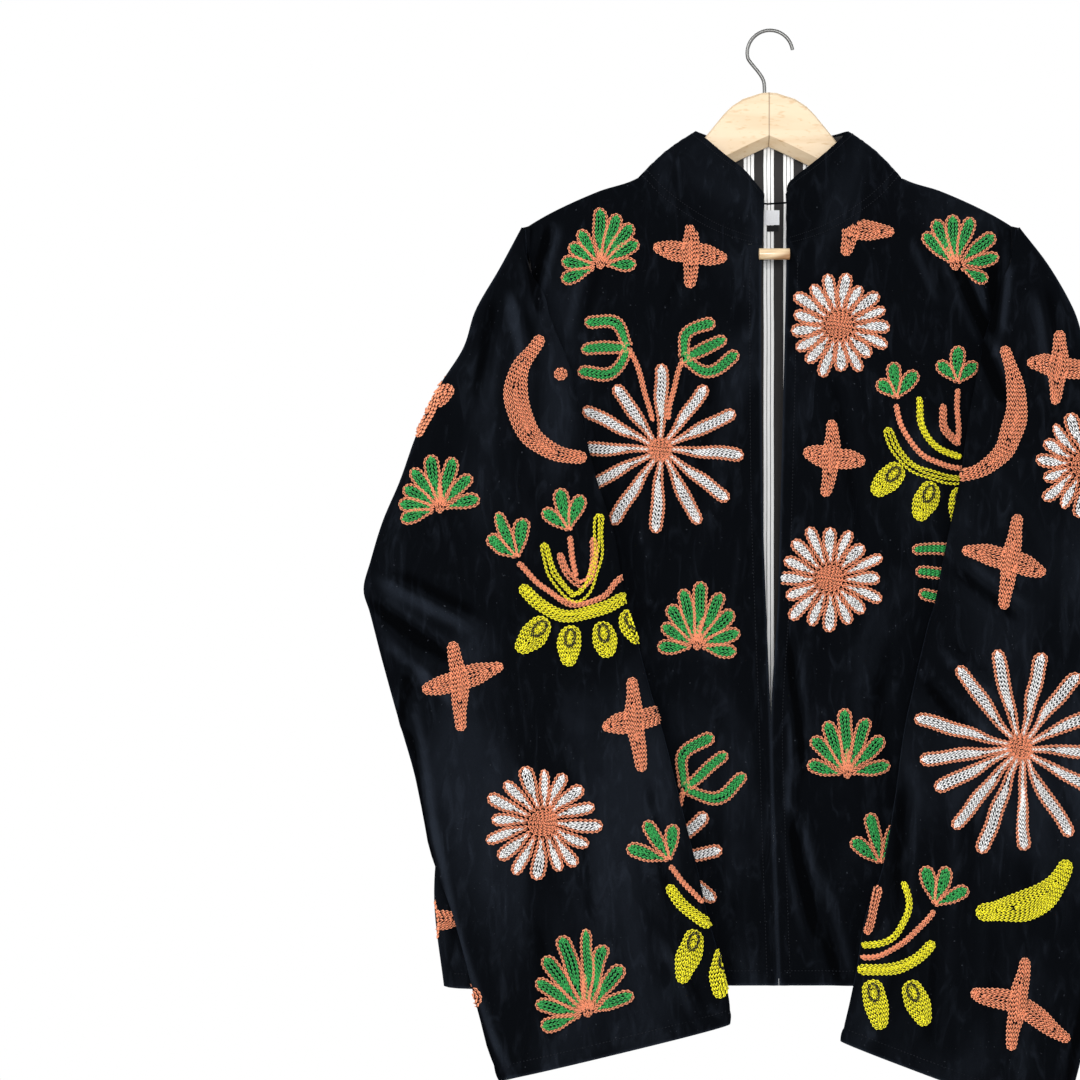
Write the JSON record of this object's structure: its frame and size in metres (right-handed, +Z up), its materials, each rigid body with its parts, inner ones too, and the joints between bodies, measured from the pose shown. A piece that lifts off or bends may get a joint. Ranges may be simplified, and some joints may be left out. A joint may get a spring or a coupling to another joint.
{
  "type": "embroidered velvet jacket on a wooden hanger",
  "caption": "Open-front velvet jacket with a stand collar, wide sleeves, striped lining and chain-stitch flowers, hung on a shaped wooden hanger by its steel hook.",
  "frame": {"origin": "the point where the top of the hook bears on its rail", "axes": "+Z up along the hanging jacket, the front faces -Y, +X towards the wearer's left"},
  "size_m": [0.7228, 0.0774, 0.9629],
  "materials": {
    "velvet": "matte",
    "striped_lining": "matte",
    "white_tape": "matte",
    "black_tape": "matte",
    "horn": "satin",
    "pale_wood": "satin",
    "steel_wire": "satin"
  },
  "bodies": {
    "root": {"back": "velvet", "front_right": "velvet", "front_left": "velvet", "sleeve_right": "velvet", "sleeve_left": "velvet", "collar": "velvet", "collar_lining": "striped_lining", "lining_back": "striped_lining", "label": "white_tape", "label_tab": "black_tape", "toggle": "horn", "hanger": "pale_wood", "hook": "steel_wire"}
  },
  "joints": []
}
